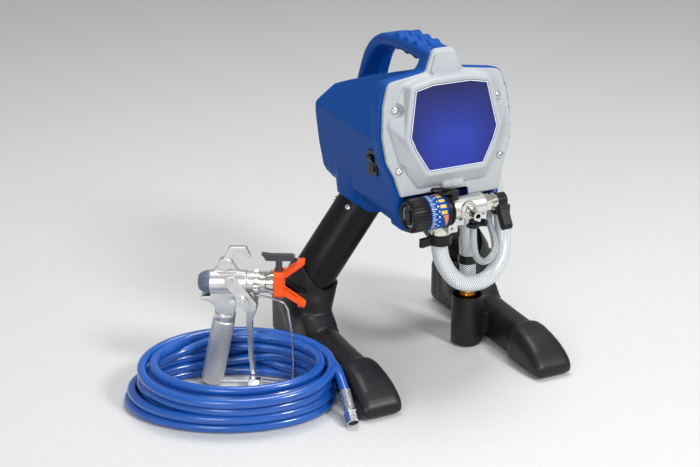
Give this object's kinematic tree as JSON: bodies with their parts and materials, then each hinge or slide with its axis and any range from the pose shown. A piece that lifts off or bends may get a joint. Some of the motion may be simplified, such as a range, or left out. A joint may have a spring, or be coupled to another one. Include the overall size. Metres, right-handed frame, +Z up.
{
  "type": "airless paint sprayer",
  "caption": "Electric airless paint sprayer on a splayed stand, with suction hose, drip cup, coiled airless hose and a spray gun with a reversible tip.",
  "frame": {"origin": "centre of the bottom of the box around the stand and the gun, on the floor", "axes": "+Z up, the pump's front faces -Y, +X to the right seen from the front"},
  "size_m": [0.6217, 0.358, 0.4744],
  "materials": {
    "black_plastic": "satin black moulded plastic",
    "blue_plastic": "semi-gloss blue moulded plastic",
    "brass": "brass",
    "cast_aluminium": "cast aluminium",
    "clear_braided": "clear vinyl hose with white braid",
    "clear_vinyl": "clear vinyl tube",
    "dark_steel": "dark coated steel",
    "grey_plastic": "satin light grey moulded plastic",
    "guard_orange": "orange plastic tip guard",
    "gun_cap": "blue-grey plastic cap",
    "hose_blue": "glossy blue airless hose",
    "leg_tube_black": "satin black tube",
    "name_panel": "glossy plain blue panel with a darker top",
    "nylon": "natural nylon gear",
    "packing": "packing",
    "rubber": "black rubber",
    "scale_band": "printed scale band, plain ticks and blocks",
    "screw_steel": "bright zinc-plated steel",
    "steel": "machined steel",
    "tip_grey": "dark grey plastic tip handle"
  },
  "bodies": {
    "stand": {"left_foot": "black_plastic", "right_foot": "black_plastic", "left_leg": "leg_tube_black", "right_leg": "leg_tube_black", "foot_pads": "rubber", "drip_cup": "black_plastic", "leg_screws": "screw_steel", "left_enclosure": "blue_plastic", "right_enclosure": "blue_plastic", "front_cover": "grey_plastic", "name_panel": "name_panel", "cover_screws": "screw_steel", "switch_bezel": "black_plastic", "cord_gland": "black_plastic", "drive_housing": "cast_aluminium", "motor_can": "dark_steel", "motor_end_bell": "cast_aluminium", "guide_rods": "steel", "pump_manifold": "cast_aluminium", "pump_cylinder": "steel", "throat_packing": "packing", "inlet_valve": "steel", "wing_nut": "black_plastic", "outlet_nipple": "steel", "pressure_collar": "black_plastic", "prime_valve": "steel", "drain_barb": "steel", "pump_latch": "black_plastic", "hose_clips": "black_plastic", "suction_hose": "clear_braided", "drain_tube": "clear_vinyl", "suction_fitting": "brass", "hose_coil": "hose_blue", "outer_hose_tail": "hose_blue", "inner_hose_tail": "hose_blue", "hose_sleeves": "steel", "hose_nuts": "steel", "gun_body": "cast_aluminium", "gun_rear_cap": "gun_cap", "gun_handle": "cast_aluminium", "gun_filter": "packing", "trigger_screws": "screw_steel", "retaining_nut": "steel", "wire_guard": "steel"},
    "pressure_control": {"pressure_knob": "black_plastic", "knob_band": "scale_band", "pressure_stem": "steel"},
    "prime_lever": {"prime_lever": "black_plastic"},
    "switch_rocker": {"switch_rocker": "black_plastic"},
    "motor_rotor": {"motor_shaft": "steel", "cooling_fan": "black_plastic"},
    "crank_gear": {"crank_gear": "nylon"},
    "piston": {"drive_yoke": "steel", "piston_rod": "steel"},
    "inlet_ball": {"inlet_ball": "steel"},
    "trigger": {"gun_trigger": "cast_aluminium"},
    "trigger_lock": {"trigger_lock": "steel"},
    "needle": {"gun_needle": "steel"},
    "tip_guard": {"tip_guard": "guard_orange"},
    "spray_tip": {"spray_tip": "tip_grey"}
  },
  "joints": [
    {"name": "pressure_knob_turn", "type": "hinge", "parent": "stand", "child": "pressure_control", "pos_m": [0.0335, -0.113, 0.261], "axis": [1, 0, 0], "range_deg": [-90, 180]},
    {"name": "prime_lever_turn", "type": "hinge", "parent": "stand", "child": "prime_lever", "pos_m": [0.1435, -0.113, 0.261], "axis": [-1, 0, 0], "range_deg": [0, 90]},
    {"name": "switch_rock", "type": "hinge", "parent": "stand", "child": "switch_rocker", "pos_m": [0, -0.015, 0.307], "axis": [0, 0.9848, -0.1736], "range_deg": [0, 12]},
    {"name": "crank_spin", "type": "hinge", "parent": "stand", "child": "crank_gear", "pos_m": [0.0735, -0.056, 0.355], "axis": [0, 1, 0], "continuous": true},
    {"name": "motor_spin", "type": "hinge", "parent": "stand", "child": "motor_rotor", "pos_m": [0.0735, -0.001, 0.315], "axis": [0, 1, 0], "continuous": true},
    {"name": "piston_stroke", "type": "slide", "parent": "stand", "child": "piston", "axis": [0, 0, 1], "range_m": [0, 0.016]},
    {"name": "inlet_ball_lift", "type": "slide", "parent": "stand", "child": "inlet_ball", "axis": [0, 0, 1], "range_m": [0, 0.002]},
    {"name": "trigger_pull", "type": "hinge", "parent": "stand", "child": "trigger", "pos_m": [-0.20425, 0.01348, 0.165], "axis": [0.4695, 0.8829, 0], "range_deg": [0, 11], "stiffness_Nm_per_rad": 1, "springref_deg": -17.19},
    {"name": "trigger_lock_turn", "type": "hinge", "parent": "trigger", "child": "trigger_lock", "pos_m": [-0.19774, -0.01263, 0.134], "axis": [0.4695, 0.8829, 0], "range_deg": [0, 90]},
    {"name": "needle_draw", "type": "slide", "parent": "stand", "child": "needle", "axis": [-0.8829, 0.4695, 0], "range_m": [0, 0.0025]},
    {"name": "guard_turn", "type": "hinge", "parent": "stand", "child": "tip_guard", "pos_m": [-0.15215, -0.01422, 0.156], "axis": [0.8829, -0.4695, 0], "range_deg": [0, 90]},
    {"name": "tip_turn", "type": "hinge", "parent": "tip_guard", "child": "spray_tip", "pos_m": [-0.14597, -0.01751, 0.156], "axis": [0, 0, 1], "range_deg": [0, 180]}
  ],
  "couplings": [
    {"joint": "motor_spin", "follows": "crank_spin", "ratio": -4},
    {"joint": "needle_draw", "follows": "trigger_pull", "m_per_rad": 0.013}
  ]
}
